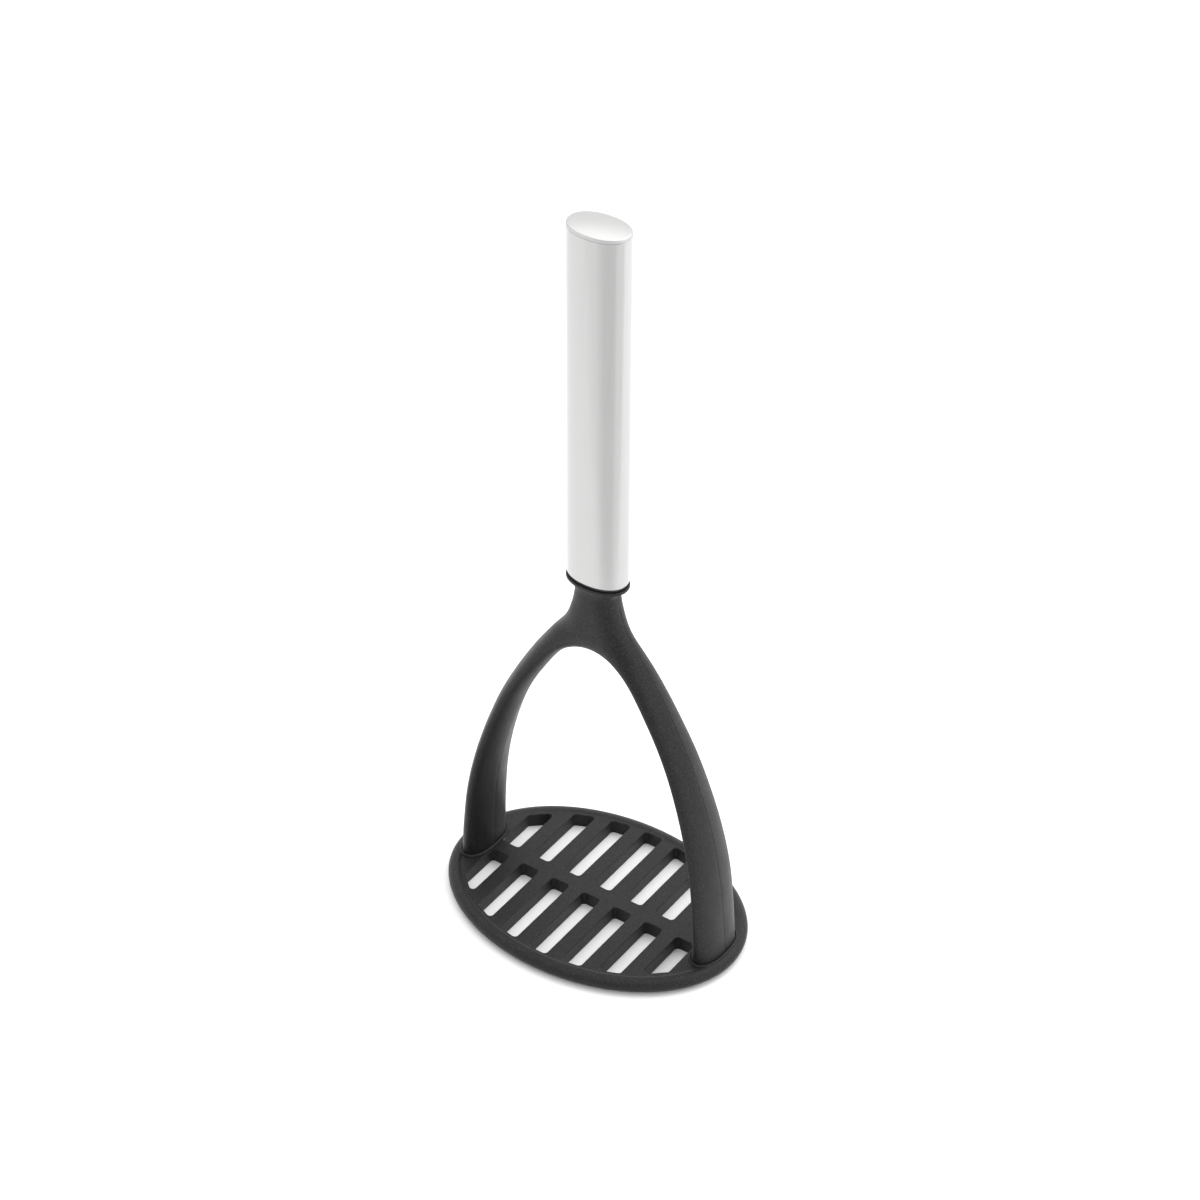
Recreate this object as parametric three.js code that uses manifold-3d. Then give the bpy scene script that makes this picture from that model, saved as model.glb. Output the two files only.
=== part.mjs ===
// Hand potato masher: a stainless steel handle tube on a moulded nylon yoke,
// whose two arms stand on a slotted oval mashing plate.
//
// Millimetres. +Z up. The origin is the centre of the plate's underside.
// X runs along the plate's long axis and through both arms, Y runs along the slots.

import * as THREE from 'three';
import { mergeVertices } from 'three/addons/utils/BufferGeometryUtils.js';
import Module from 'manifold-3d';

const wasm = await Module();
wasm.setup();

// ---------------------------------------------------------------- driving dimensions

const TOTAL_HEIGHT = 280;
const GAP = 0.3;                    // between two pieces that touch

// Mashing plate: an oval web with two rows of slots and a rounded rim.
const PLATE_HALF_LENGTH = 58;
const PLATE_HALF_WIDTH = 41.6;
const WEB_THICKNESS = 5.5;
const RIM_MID_HEIGHT = 3.2;         // height of the rim's widest line
const RIM_FOOT_INSET = 4.2;         // how far in from the edge the rim touches the table
const RIM_TOP = 5.9;
const RIM_SHOULDER = 3.4;           // how far in from the edge the rim's crest is
const RIM_INNER = 4.7;              // how far in from the edge the rim meets the web
const SLOT_COLUMNS = 7;
const SLOT_PITCH = 13.34;
const SLOT_WIDTH = 7.5;
const SLOT_CORNER_RADIUS = 1.3;
const CENTRE_BAR_HALF_WIDTH = 2.9;
const SLOT_FIELD_HALF_LENGTH = 51.5; // the oval that the slots' outer ends follow
const SLOT_FIELD_HALF_WIDTH = 36.5;

// Yoke: two arms that join in an arch below the neck.
// Half of its outline in the XZ plane, [x, z], from the foot up.
const ARM_OUTER_EDGE = [
  [54.6, 2], [53.4, 20], [50.9, 40], [46.4, 60], [39.5, 80], [32.2, 95],
  [24.6, 108], [17.8, 118], [12, 126], [9, 134], [7.8, 141],
];
const ARM_INNER_EDGE = [
  [44.6, 2], [44.5, 20], [42.9, 40], [38.2, 60], [31.2, 80], [22.9, 96], [12.4, 110.6],
];
const CROTCH_HEIGHT = 115.4;
// Half of its width along Y at each height, [z, half width].
const YOKE_HALF_WIDTH = [
  [0, 11], [14, 11.2], [30, 11.2], [60, 9.8], [90, 7.9], [106, 7], [122, 6.1], [150, 6],
];
const ARM_EDGE_ROUND = 3.7;         // depth of the rounding along both edges of the arms
// Superellipse exponent of that rounding at each height: square at the feet and the neck.
const YOKE_SQUARENESS = [[0, 3], [15, 2.4], [40, 1.8], [110, 1.8], [128, 2.4], [150, 2.4]];

// Joint between an arm's foot and the plate: a tenon in a blind socket, and a lip around it.
const SOCKET_DEPTH = 3.3;
const TENON_SHOULDER = 1.4;
const LIP_WIDTH = 0.75;
const LIP_HEIGHT = 0.8;

// Handle: an oval tube closed by a domed cap.
const HANDLE_HALF_WIDTH = 11.27;
const HANDLE_HALF_DEPTH = 7.29;
const HANDLE_SQUARENESS = 2.15;     // superellipse exponent of every handle section
const HANDLE_BOTTOM = 146.4;
const TUBE_WALL = 0.8;
const CAP_EDGE_HEIGHT = 1.1;
const CAP_DOME_HEIGHT = 0.9;
const CAP_SPIGOT_DEPTH = 4;

// Collar between the neck and the tube.
const COLLAR_OVERHANG = 0.3;        // how far the collar stands out beyond the tube
const COLLAR_THICKNESS = 1.1;
const COLLAR_COVE_HEIGHT = 3.2;
const COLLAR_EDGE_ROUND = 0.25;
const NECK_HALF_WIDTH = 7.4;        // the neck's face, where the cove begins
const NECK_HALF_DEPTH = 5.6;
const SEAL_THICKNESS = 0.6;
const SEAL_INSET = 0.35;            // how far the seal lies in from the tube's face

// Tang of the yoke, and the plug in the tube that it is pinned in.
const TANG_HALF_WIDTH = 6.4;
const TANG_HALF_DEPTH = 3.4;
const TANG_LENGTH = 46;
const TANG_CORNER_RADIUS = 1.6;
const PLUG_LENGTH = 58;
const PIN_RADIUS = 1.5;
const PIN_HALF_LENGTH = 6;
const PIN_HEIGHTS = [163, 181];
const BEYOND = 20;                  // how far a cutting tool runs past what it cuts

// Fineness of the round shapes.
const OVAL_SEGMENTS = 96;
const HANDLE_SEGMENTS = 64;
const CORNER_SEGMENTS = 4;
const ROUND_SEGMENTS = 6;
const DOME_SEGMENTS = 8;
const PIN_SEGMENTS = 20;
const OUTER_EDGE_SEGMENTS = 40;
const INNER_EDGE_SEGMENTS = 64;

// ---------------------------------------------------------------- materials

const brushedSteel = new THREE.MeshStandardMaterial({ color: 0xc9cacb, roughness: 0.32, metalness: 1 });
const springSteel = new THREE.MeshStandardMaterial({ color: 0x9a9c9e, roughness: 0.4, metalness: 1 });
const blackNylon = new THREE.MeshStandardMaterial({ color: 0x2b2b2c, roughness: 0.62, metalness: 0 });
const blackRubber = new THREE.MeshStandardMaterial({ color: 0x151515, roughness: 0.8, metalness: 0 });
const greyNylon = new THREE.MeshStandardMaterial({ color: 0x55585a, roughness: 0.7, metalness: 0 });

// ---------------------------------------------------------------- solids from geometry

/** A closed three.js geometry as a solid that can be joined and cut. */
function solidFrom(geometry) {
  const bare = geometry.clone();
  bare.deleteAttribute('normal');
  bare.deleteAttribute('uv');
  const merged = mergeVertices(bare, 1e-4);
  return new wasm.Manifold(new wasm.Mesh({
    numProp: 3,
    vertProperties: new Float32Array(merged.attributes.position.array),
    triVerts: new Uint32Array(merged.index.array),
  }));
}

/** A solid as a named mesh with flat faces. */
function meshFrom(name, solid, material) {
  const result = solid.getMesh();
  const geometry = new THREE.BufferGeometry();
  geometry.setAttribute('position', new THREE.BufferAttribute(new Float32Array(result.vertProperties), 3));
  geometry.setIndex(new THREE.BufferAttribute(new Uint32Array(result.triVerts), 1));
  geometry.computeVertexNormals();
  const mesh = new THREE.Mesh(geometry, material);
  mesh.name = name;
  return mesh;
}

/** A flat shape drawn in XY, standing between two heights. */
function prism(shape, low, high) {
  const geometry = new THREE.ExtrudeGeometry(shape, {
    depth: high - low,
    bevelEnabled: false,
    curveSegments: CORNER_SEGMENTS,
  });
  return solidFrom(geometry.translate(0, 0, low));
}

/** The point of a superellipse at an angle. */
function onSuperellipse(halfX, halfY, exponent, angle) {
  const bulge = (value) => Math.sign(value) * Math.abs(value) ** (2 / exponent);
  return new THREE.Vector2(halfX * bulge(Math.cos(angle)), halfY * bulge(Math.sin(angle)));
}

/** The points of a superellipse, anticlockwise from +X. */
function superellipse(halfX, halfY, exponent, count) {
  return Array.from({ length: count }, (_, i) => (
    onSuperellipse(halfX, halfY, exponent, (2 * Math.PI * i) / count)));
}

/**
 * A turned profile of [reach, z] points whose circles are stretched to the handle's oval.
 * halfSizes gives the oval's two half sizes for a reach.
 */
function turnedOnOval(profile, halfSizes) {
  const geometry = new THREE.LatheGeometry(profile, HANDLE_SEGMENTS).rotateX(Math.PI / 2);
  const position = geometry.attributes.position;
  for (let i = 0; i < position.count; i += 1) {
    const [x, y, z] = [position.getX(i), position.getY(i), position.getZ(i)];
    const [halfX, halfY] = halfSizes(Math.hypot(x, y));
    const place = onSuperellipse(halfX, halfY, HANDLE_SQUARENESS, Math.atan2(y, x));
    position.setXYZ(i, place.x, place.y, z);
  }
  return solidFrom(geometry);
}

/** The handle's section, drawn in by an inset. */
function handleSection(inset) {
  return new THREE.Shape(superellipse(
    HANDLE_HALF_WIDTH - inset, HANDLE_HALF_DEPTH - inset, HANDLE_SQUARENESS, HANDLE_SEGMENTS));
}

/** A rectangle with round corners, centred on the origin. */
function roundedRectangle(halfX, halfY, radius) {
  const shape = new THREE.Shape();
  shape.absarc(halfX - radius, halfY - radius, radius, 0, Math.PI / 2);
  shape.absarc(radius - halfX, halfY - radius, radius, Math.PI / 2, Math.PI);
  shape.absarc(radius - halfX, radius - halfY, radius, Math.PI, 1.5 * Math.PI);
  shape.absarc(halfX - radius, radius - halfY, radius, 1.5 * Math.PI, 2 * Math.PI);
  shape.closePath();
  return shape;
}

/** Linear interpolation in a table of [position, value] rows. */
function interpolate(table, position) {
  const last = table.length - 1;
  const next = table.findIndex(([place]) => place >= position);
  if (next === 0) return table[0][1];
  if (next < 0) return table[last][1];
  const [place0, value0] = table[next - 1];
  const [place1, value1] = table[next];
  return value0 + ((value1 - value0) * (position - place0)) / (place1 - place0);
}

// ---------------------------------------------------------------- yoke

/** The arch and neck, grown outwards by a given distance. */
function archSolid(growth) {
  const toPoints = (rows, side) => rows.map(([x, z]) => new THREE.Vector2(side * x, z));
  // The feet and the neck are drawn too long here and cut off later.
  const [outerFootX] = ARM_OUTER_EDGE[0];
  const [innerFootX] = ARM_INNER_EDGE[0];
  const [neckX] = ARM_OUTER_EDGE[ARM_OUTER_EDGE.length - 1];
  const outer = [[outerFootX, -BEYOND], ...ARM_OUTER_EDGE, [neckX, HANDLE_BOTTOM + BEYOND]];
  const inner = [[innerFootX, -BEYOND], ...ARM_INNER_EDGE, [0, CROTCH_HEIGHT]];

  const shape = new THREE.Shape();
  const innerCurve = new THREE.SplineCurve([
    ...toPoints(inner, 1), ...toPoints(inner.slice(0, -1), -1).reverse()]);
  const rightCurve = new THREE.SplineCurve(toPoints(outer, 1));
  const leftCurve = new THREE.SplineCurve(toPoints(outer, -1).reverse());
  shape.setFromPoints([
    ...rightCurve.getSpacedPoints(OUTER_EDGE_SEGMENTS),
    ...leftCurve.getSpacedPoints(OUTER_EDGE_SEGMENTS),
    ...innerCurve.getSpacedPoints(INNER_EDGE_SEGMENTS).reverse(),
  ]);

  // Extruded as a slab one unit thick each way with rounded edges, then stretched
  // along Y to the half width that belongs to each height.
  const flat = 0.04;                 // half of the slab that the rounding leaves flat
  const geometry = new THREE.ExtrudeGeometry(shape, {
    depth: 2 * flat,
    bevelThickness: 1 - flat,
    bevelSize: ARM_EDGE_ROUND + growth,
    bevelOffset: -ARM_EDGE_ROUND,
    bevelSegments: ROUND_SEGMENTS,
  });
  geometry.translate(0, 0, -flat);
  const position = geometry.attributes.position;
  for (let i = 0; i < position.count; i += 1) {
    const [x, z, side] = [position.getX(i), position.getY(i), position.getZ(i)];
    const exponent = interpolate(YOKE_SQUARENESS, z);
    const inEllipse = Math.min(Math.abs(side), 1);
    const bulge = (1 - (1 - inEllipse ** 2) ** (exponent / 2)) ** (1 / exponent);
    const halfWidth = interpolate(YOKE_HALF_WIDTH, z) + growth;
    position.setXYZ(i, x, -Math.sign(side) * bulge * halfWidth, z);
  }
  return solidFrom(geometry);
}

/** Everything between two heights, to cut or keep. */
function slab(low, high) {
  const side = 4 * PLATE_HALF_LENGTH;
  const box = new THREE.BoxGeometry(side, side, high - low);
  return solidFrom(box.translate(0, 0, (low + high) / 2));
}

const collarTop = HANDLE_BOTTOM - GAP - SEAL_THICKNESS - GAP;
const collarBottom = collarTop - COLLAR_THICKNESS;

/** The collar, with the cove under it that leads down to the neck. */
function collarSolid() {
  const halfWidth = HANDLE_HALF_WIDTH + COLLAR_OVERHANG;
  const halfDepth = HANDLE_HALF_DEPTH + COLLAR_OVERHANG;
  // A round turned profile of radius 1 at the neck's face and 2 at the collar's edge,
  // which is then stretched to the ovals there.
  const underside = 1.93;            // where the cove meets the collar's lower edge
  const eased = 2 - COLLAR_EDGE_ROUND / (halfWidth - NECK_HALF_WIDTH);
  const profile = [new THREE.Vector2(0, collarBottom - COLLAR_COVE_HEIGHT)];
  for (let i = 0; i <= ROUND_SEGMENTS; i += 1) {
    const angle = (Math.PI / 2) * (i / ROUND_SEGMENTS);
    profile.push(new THREE.Vector2(
      1 + (underside - 1) * (1 - Math.cos(angle)),
      collarBottom - COLLAR_COVE_HEIGHT * (1 - Math.sin(angle))));
  }
  profile.push(new THREE.Vector2(2, collarBottom + COLLAR_EDGE_ROUND));
  profile.push(new THREE.Vector2(2, collarTop - COLLAR_EDGE_ROUND));
  profile.push(new THREE.Vector2(eased, collarTop));
  profile.push(new THREE.Vector2(0, collarTop));
  return turnedOnOval(profile, (reach) => {
    const inward = Math.min(reach, 1);
    const outward = Math.max(reach - 1, 0);
    return [
      inward * NECK_HALF_WIDTH + outward * (halfWidth - NECK_HALF_WIDTH),
      inward * NECK_HALF_DEPTH + outward * (halfDepth - NECK_HALF_DEPTH),
    ];
  });
}

/** Holes for the two cross pins, or the pins themselves. */
function crossPins(radius, halfLength) {
  return PIN_HEIGHTS.map((height) => {
    const pin = new THREE.CylinderGeometry(radius, radius, 2 * halfLength, PIN_SEGMENTS);
    return solidFrom(pin.translate(0, 0, height));
  });
}

function makeYoke() {
  const footBottom = WEB_THICKNESS + GAP;
  const arch = archSolid(0).intersect(slab(footBottom, collarBottom));
  const tenonBottom = WEB_THICKNESS - SOCKET_DEPTH + GAP;
  const tenons = archSolid(-TENON_SHOULDER).intersect(slab(tenonBottom, footBottom + GAP));
  const tangShape = roundedRectangle(TANG_HALF_WIDTH, TANG_HALF_DEPTH, TANG_CORNER_RADIUS);
  const tang = prism(tangShape, collarBottom, collarTop + TANG_LENGTH);
  let yoke = arch.add(tenons).add(collarSolid()).add(tang);
  for (const hole of crossPins(PIN_RADIUS + GAP, BEYOND)) {
    yoke = yoke.subtract(hole);
  }
  return yoke;
}

// ---------------------------------------------------------------- mashing plate

/** One slot: straight sides, a straight end at the centre bar, and an outer end on the oval. */
function slotShape(column, side) {
  const middle = column * SLOT_PITCH;
  const left = middle - SLOT_WIDTH / 2;
  const right = middle + SLOT_WIDTH / 2;
  const r = SLOT_CORNER_RADIUS;
  const outerEnd = (x) => SLOT_FIELD_HALF_WIDTH * Math.sqrt(1 - (x / SLOT_FIELD_HALF_LENGTH) ** 2);
  const shape = new THREE.Shape();
  shape.moveTo(left, CENTRE_BAR_HALF_WIDTH + r);
  shape.quadraticCurveTo(left, CENTRE_BAR_HALF_WIDTH, left + r, CENTRE_BAR_HALF_WIDTH);
  shape.lineTo(right - r, CENTRE_BAR_HALF_WIDTH);
  shape.quadraticCurveTo(right, CENTRE_BAR_HALF_WIDTH, right, CENTRE_BAR_HALF_WIDTH + r);
  shape.lineTo(right, outerEnd(right) - r);
  shape.quadraticCurveTo(right, outerEnd(right), right - r, outerEnd(right - r));
  shape.lineTo(middle, outerEnd(middle));
  shape.lineTo(left + r, outerEnd(left + r));
  shape.quadraticCurveTo(left, outerEnd(left), left, outerEnd(left) - r);
  shape.closePath();
  if (side > 0) return shape;
  const mirrored = shape.getPoints(CORNER_SEGMENTS).map(({ x, y }) => new THREE.Vector2(x, -y));
  return new THREE.Shape(mirrored.reverse());
}

/** The rounded rim, turned as a round ring and then laid around the oval. */
function rimSolid() {
  const profile = [];
  const radiusAt = (inset) => PLATE_HALF_LENGTH - inset;
  for (let i = 0; i <= ROUND_SEGMENTS; i += 1) {
    const angle = (Math.PI / 2) * (i / ROUND_SEGMENTS);
    profile.push(new THREE.Vector2(
      radiusAt(RIM_FOOT_INSET * (1 - Math.sin(angle))), RIM_MID_HEIGHT * (1 - Math.cos(angle))));
  }
  for (let i = 1; i <= ROUND_SEGMENTS; i += 1) {
    const angle = (Math.PI / 2) * (i / ROUND_SEGMENTS);
    profile.push(new THREE.Vector2(
      radiusAt(RIM_SHOULDER * (1 - Math.cos(angle))),
      RIM_MID_HEIGHT + (RIM_TOP - RIM_MID_HEIGHT) * Math.sin(angle)));
  }
  profile.push(new THREE.Vector2(radiusAt(RIM_INNER), WEB_THICKNESS));
  profile.push(new THREE.Vector2(radiusAt(RIM_INNER), 0));
  profile.push(profile[0].clone());

  const geometry = new THREE.LatheGeometry(profile, OVAL_SEGMENTS).rotateX(Math.PI / 2);
  const position = geometry.attributes.position;
  for (let i = 0; i < position.count; i += 1) {
    const [x, y, z] = [position.getX(i), position.getY(i), position.getZ(i)];
    const angle = Math.atan2(y, x);
    const inset = PLATE_HALF_LENGTH - Math.hypot(x, y);
    const normal = new THREE.Vector2(
      Math.cos(angle) / PLATE_HALF_LENGTH, Math.sin(angle) / PLATE_HALF_WIDTH).normalize();
    position.setXYZ(
      i,
      PLATE_HALF_LENGTH * Math.cos(angle) - inset * normal.x,
      PLATE_HALF_WIDTH * Math.sin(angle) - inset * normal.y,
      z);
  }
  return solidFrom(geometry);
}

function makePlate() {
  const webEdge = RIM_INNER - LIP_WIDTH; // the web runs a little way into the rim
  const web = new THREE.Shape(superellipse(
    PLATE_HALF_LENGTH - webEdge, PLATE_HALF_WIDTH - webEdge, 2, OVAL_SEGMENTS));
  const lips = archSolid(GAP + LIP_WIDTH)
    .intersect(slab(WEB_THICKNESS / 2, WEB_THICKNESS + LIP_HEIGHT));
  const footRoom = archSolid(GAP).intersect(slab(WEB_THICKNESS, WEB_THICKNESS + 2 * LIP_HEIGHT));
  const sockets = archSolid(GAP - TENON_SHOULDER)
    .intersect(slab(WEB_THICKNESS - SOCKET_DEPTH, WEB_THICKNESS + LIP_HEIGHT));
  let plate = prism(web, 0, WEB_THICKNESS).add(rimSolid()).add(lips)
    .subtract(footRoom).subtract(sockets);
  const reach = (SLOT_COLUMNS - 1) / 2;
  for (let column = -reach; column <= reach; column += 1) {
    for (const side of [1, -1]) {
      plate = plate.subtract(prism(slotShape(column, side), -BEYOND, BEYOND));
    }
  }
  return plate;
}

// ---------------------------------------------------------------- handle

function makeTube() {
  const section = handleSection(0);
  section.holes.push(handleSection(TUBE_WALL));
  const top = TOTAL_HEIGHT - CAP_DOME_HEIGHT - CAP_EDGE_HEIGHT - GAP;
  return prism(section, HANDLE_BOTTOM, top);
}

/** A domed lid on a spigot that drops into the tube. */
function makeCap() {
  const edgeBottom = TOTAL_HEIGHT - CAP_DOME_HEIGHT - CAP_EDGE_HEIGHT;
  const edgeTop = TOTAL_HEIGHT - CAP_DOME_HEIGHT;
  const spigot = prism(handleSection(TUBE_WALL + GAP), edgeBottom - CAP_SPIGOT_DEPTH, edgeBottom);
  const profile = [new THREE.Vector2(0, edgeBottom), new THREE.Vector2(1, edgeBottom)];
  for (let i = DOME_SEGMENTS; i >= 0; i -= 1) {
    const reach = i / DOME_SEGMENTS;
    profile.push(new THREE.Vector2(reach, edgeTop + CAP_DOME_HEIGHT * (1 - reach ** 2)));
  }
  const lid = turnedOnOval(profile, (reach) => [
    reach * HANDLE_HALF_WIDTH, reach * HANDLE_HALF_DEPTH]);
  return lid.add(spigot);
}

/** A thin ring between the collar and the end of the tube. */
function makeSeal() {
  const ring = handleSection(SEAL_INSET);
  ring.holes.push(roundedRectangle(TANG_HALF_WIDTH + GAP, TANG_HALF_DEPTH + GAP, TANG_CORNER_RADIUS));
  return prism(ring, collarTop + GAP, collarTop + GAP + SEAL_THICKNESS);
}

/** The plug that fills the lower end of the tube around the tang. */
function makePlug() {
  const bottom = collarTop + GAP + SEAL_THICKNESS + GAP;
  const body = prism(handleSection(TUBE_WALL + GAP), bottom, bottom + PLUG_LENGTH);
  const pocket = prism(
    roundedRectangle(TANG_HALF_WIDTH + GAP, TANG_HALF_DEPTH + GAP, TANG_CORNER_RADIUS),
    bottom - 1, collarTop + TANG_LENGTH + GAP);
  let plug = body.subtract(pocket);
  for (const hole of crossPins(PIN_RADIUS + GAP, BEYOND)) {
    plug = plug.subtract(hole);
  }
  return plug;
}

// ---------------------------------------------------------------- the assembly

const masher = new THREE.Group();
masher.add(meshFrom('mashing_plate', makePlate(), blackNylon));
masher.add(meshFrom('yoke', makeYoke(), blackNylon));
masher.add(meshFrom('collar_seal', makeSeal(), blackRubber));
masher.add(meshFrom('handle_plug', makePlug(), greyNylon));
masher.add(meshFrom('handle_tube', makeTube(), brushedSteel));
masher.add(meshFrom('handle_end_cap', makeCap(), brushedSteel));
crossPins(PIN_RADIUS, PIN_HALF_LENGTH).forEach((pin, index) => {
  masher.add(meshFrom(index === 0 ? 'tang_pin_lower' : 'tang_pin_upper', pin, springSteel));
});

export default masher;
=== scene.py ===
# %% [markdown]
# # A hand potato masher
# The real object has five pieces to look at: a brushed stainless handle tube, its domed
# lid, a thin dark seal, a forked yoke of moulded black nylon, and a slotted nylon plate
# that the yoke's two feet stand on. A plug and two pins hide inside the handle.
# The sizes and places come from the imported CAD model, which is loaded first and never
# changed. Each piece below is a finer mesh that stands for its CAD node.

# %% Load the CAD frame
import math

import bmesh
import bpy
import numpy as np
from mathutils import Matrix, Vector


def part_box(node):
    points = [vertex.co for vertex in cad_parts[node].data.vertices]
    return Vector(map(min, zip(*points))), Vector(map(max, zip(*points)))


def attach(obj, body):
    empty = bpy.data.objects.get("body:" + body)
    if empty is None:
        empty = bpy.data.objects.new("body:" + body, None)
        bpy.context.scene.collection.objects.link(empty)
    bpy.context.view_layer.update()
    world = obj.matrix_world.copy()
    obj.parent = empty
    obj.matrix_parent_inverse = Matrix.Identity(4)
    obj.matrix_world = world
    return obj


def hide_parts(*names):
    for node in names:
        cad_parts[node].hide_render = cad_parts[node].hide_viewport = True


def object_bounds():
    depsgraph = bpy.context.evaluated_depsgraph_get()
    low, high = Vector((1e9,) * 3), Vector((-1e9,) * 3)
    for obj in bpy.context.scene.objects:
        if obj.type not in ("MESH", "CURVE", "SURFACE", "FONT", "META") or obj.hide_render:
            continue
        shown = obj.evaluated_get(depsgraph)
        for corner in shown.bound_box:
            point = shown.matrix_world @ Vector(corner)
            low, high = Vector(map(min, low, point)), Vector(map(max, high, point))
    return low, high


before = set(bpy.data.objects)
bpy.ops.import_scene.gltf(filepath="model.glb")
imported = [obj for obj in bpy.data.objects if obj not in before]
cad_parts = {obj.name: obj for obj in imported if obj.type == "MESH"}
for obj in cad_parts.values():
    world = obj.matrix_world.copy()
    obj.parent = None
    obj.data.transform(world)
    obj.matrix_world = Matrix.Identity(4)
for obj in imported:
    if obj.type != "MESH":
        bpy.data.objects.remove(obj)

scene = bpy.context.scene
cad_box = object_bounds()
print("CAD box:", cad_box)

# %% [markdown]
# ## Sizes
# Blender works in metres and a kitchen tool is easier to think of in millimetres, so one
# factor turns millimetres into metres. Every outer size is read from the CAD nodes' boxes.

# %% Read the sizes from the frame
MM = 0.001

plate_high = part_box("mashing_plate")[1]
yoke_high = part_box("yoke")[1]
seal_low, seal_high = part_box("collar_seal")
tube_low, tube_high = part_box("handle_tube")
cap_low, cap_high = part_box("handle_end_cap")

plate_half_length = plate_high.x / MM
plate_half_width = plate_high.y / MM
handle_half_width = tube_high.x / MM
handle_half_depth = tube_high.y / MM
tube_bottom = tube_low.z / MM
tube_top = tube_high.z / MM
yoke_half_depth = yoke_high.y / MM
total_height = cap_high.z / MM
print(f"plate {2 * plate_half_length:.1f} x {2 * plate_half_width:.1f} mm,"
      f" handle {2 * handle_half_width:.1f} x {2 * handle_half_depth:.1f} mm,"
      f" height {total_height:.1f} mm")

# %% [markdown]
# ## Camera
# A long lens from a metre away keeps the handle's sides almost parallel. The camera looks
# down from the right of the plate's front, at a point near mid height, close to the axis.

# %% Place the camera
CAMERA_AZIMUTH = math.radians(34.7)     # from straight in front, towards +X
CAMERA_ELEVATION = math.radians(37.42)
CAMERA_ROLL = math.radians(0.26)
CAMERA_DISTANCE = 1079.8 * MM
CAMERA_AIM = Vector((0.42, 0.65, 135.5)) * MM
CAMERA_LENS = 97.9                      # millimetres, on a sensor 36 mm wide

back = Vector((
    math.sin(CAMERA_AZIMUTH) * math.cos(CAMERA_ELEVATION),
    -math.cos(CAMERA_AZIMUTH) * math.cos(CAMERA_ELEVATION),
    math.sin(CAMERA_ELEVATION),
))
right = Vector((math.cos(CAMERA_AZIMUTH), math.sin(CAMERA_AZIMUTH), 0))
up = back.cross(right)
rolled_right = math.cos(CAMERA_ROLL) * right + math.sin(CAMERA_ROLL) * up
rolled_up = math.cos(CAMERA_ROLL) * up - math.sin(CAMERA_ROLL) * right

camera_data = bpy.data.cameras.new("camera")
camera_data.sensor_width = 36
camera_data.lens = CAMERA_LENS
camera = bpy.data.objects.new("camera", camera_data)
turn = Matrix((rolled_right, rolled_up, back)).transposed().to_4x4()
camera.matrix_world = Matrix.Translation(CAMERA_AIM + CAMERA_DISTANCE * back) @ turn
scene.collection.objects.link(camera)
scene.camera = camera
print("camera at", [round(value, 3) for value in camera.matrix_world.translation])

# %% [markdown]
# ## Small helpers for meshes
# Most pieces are rings of points joined by quads: a ring is one closed section, and a
# piece is a stack of rings. The helper closes the ends, or joins the last ring to the
# first for a tube with a wall.


# %% Mesh helpers
WELD_DISTANCE = 0.0005 * MM      # points nearer than this are one point


def new_object(name, bm):
    """A mesh object from a bmesh, with outward faces and smooth shading.

    Each point's normal leans towards its largest faces, so flat faces stay flat and the
    narrow faces between them read as rounded edges.
    """
    bmesh.ops.remove_doubles(bm, verts=bm.verts, dist=WELD_DISTANCE)
    bmesh.ops.recalc_face_normals(bm, faces=bm.faces)
    normals = []
    for vertex in bm.verts:
        lean = sum((face.normal * face.calc_area() for face in vertex.link_faces), Vector())
        normals.append(lean.normalized())
    mesh = bpy.data.meshes.new(name)
    bm.to_mesh(mesh)
    bm.free()
    mesh.shade_smooth()
    mesh.normals_split_custom_set_from_vertices(normals)
    piece = bpy.data.objects.new(name, mesh)
    scene.collection.objects.link(piece)
    return piece


def stack_rings(bm, rings, loop=False):
    """Joins equal rings of points (in millimetres) by quads and closes the ends."""
    rows = [[bm.verts.new(Vector(point) * MM) for point in ring] for ring in rings]
    pairs = list(zip(rows, rows[1:]))
    if loop:
        pairs.append((rows[-1], rows[0]))
    for lower, upper in pairs:
        for i in range(len(lower)):
            j = (i + 1) % len(lower)
            bm.faces.new((lower[i], lower[j], upper[j], upper[i]))
    if not loop:
        bm.faces.new(rows[0][::-1])
        bm.faces.new(rows[-1])


def superellipse(half_x, half_y, exponent, count):
    """Points of a superellipse, anticlockwise from +X."""
    angle = np.linspace(0, 2 * np.pi, count, endpoint=False)
    bulge = lambda value: np.sign(value) * np.abs(value) ** (2 / exponent)
    return np.column_stack((half_x * bulge(np.cos(angle)), half_y * bulge(np.sin(angle))))


def describe(piece):
    """Prints a piece's triangles, and whether its surface is closed."""
    bm = bmesh.new()
    bm.from_mesh(piece.data)
    open_edges = sum(1 for edge in bm.edges if len(edge.link_faces) != 2)
    triangles = sum(len(face.verts) - 2 for face in bm.faces)
    volume = bm.calc_volume(signed=True)
    bm.free()
    print(f"{piece.name}: {triangles} triangles, {open_edges} open edges,"
          f" {volume / MM**3:.0f} mm3")

# %% [markdown]
# ## Floor and light
# A white sheet lies under the masher, in a room that is evenly bright all round, apart from
# one soft gap in front, to the left of the viewer. The handle reflects the gap as a darker
# band down its length. The sheet ends a short way in front of the plate, because the handle
# would reflect a longer one in place of the gap.
#
# Three softboxes add to the room's light: the key behind on the right, one above, and a
# weak one that lights the right-hand edges.

# %% Floor, world and lamps


def add_node(tree, kind, inputs=None, **settings):
    """Adds a node: settings are its properties, inputs give its sockets a value or a link."""
    node = tree.nodes.new(kind)
    for name, value in settings.items():
        setattr(node, name, value)
    for name, value in (inputs or {}).items():
        if isinstance(value, bpy.types.NodeSocket):
            tree.links.new(value, node.inputs[name])
        else:
            node.inputs[name].default_value = value
    return node


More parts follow.
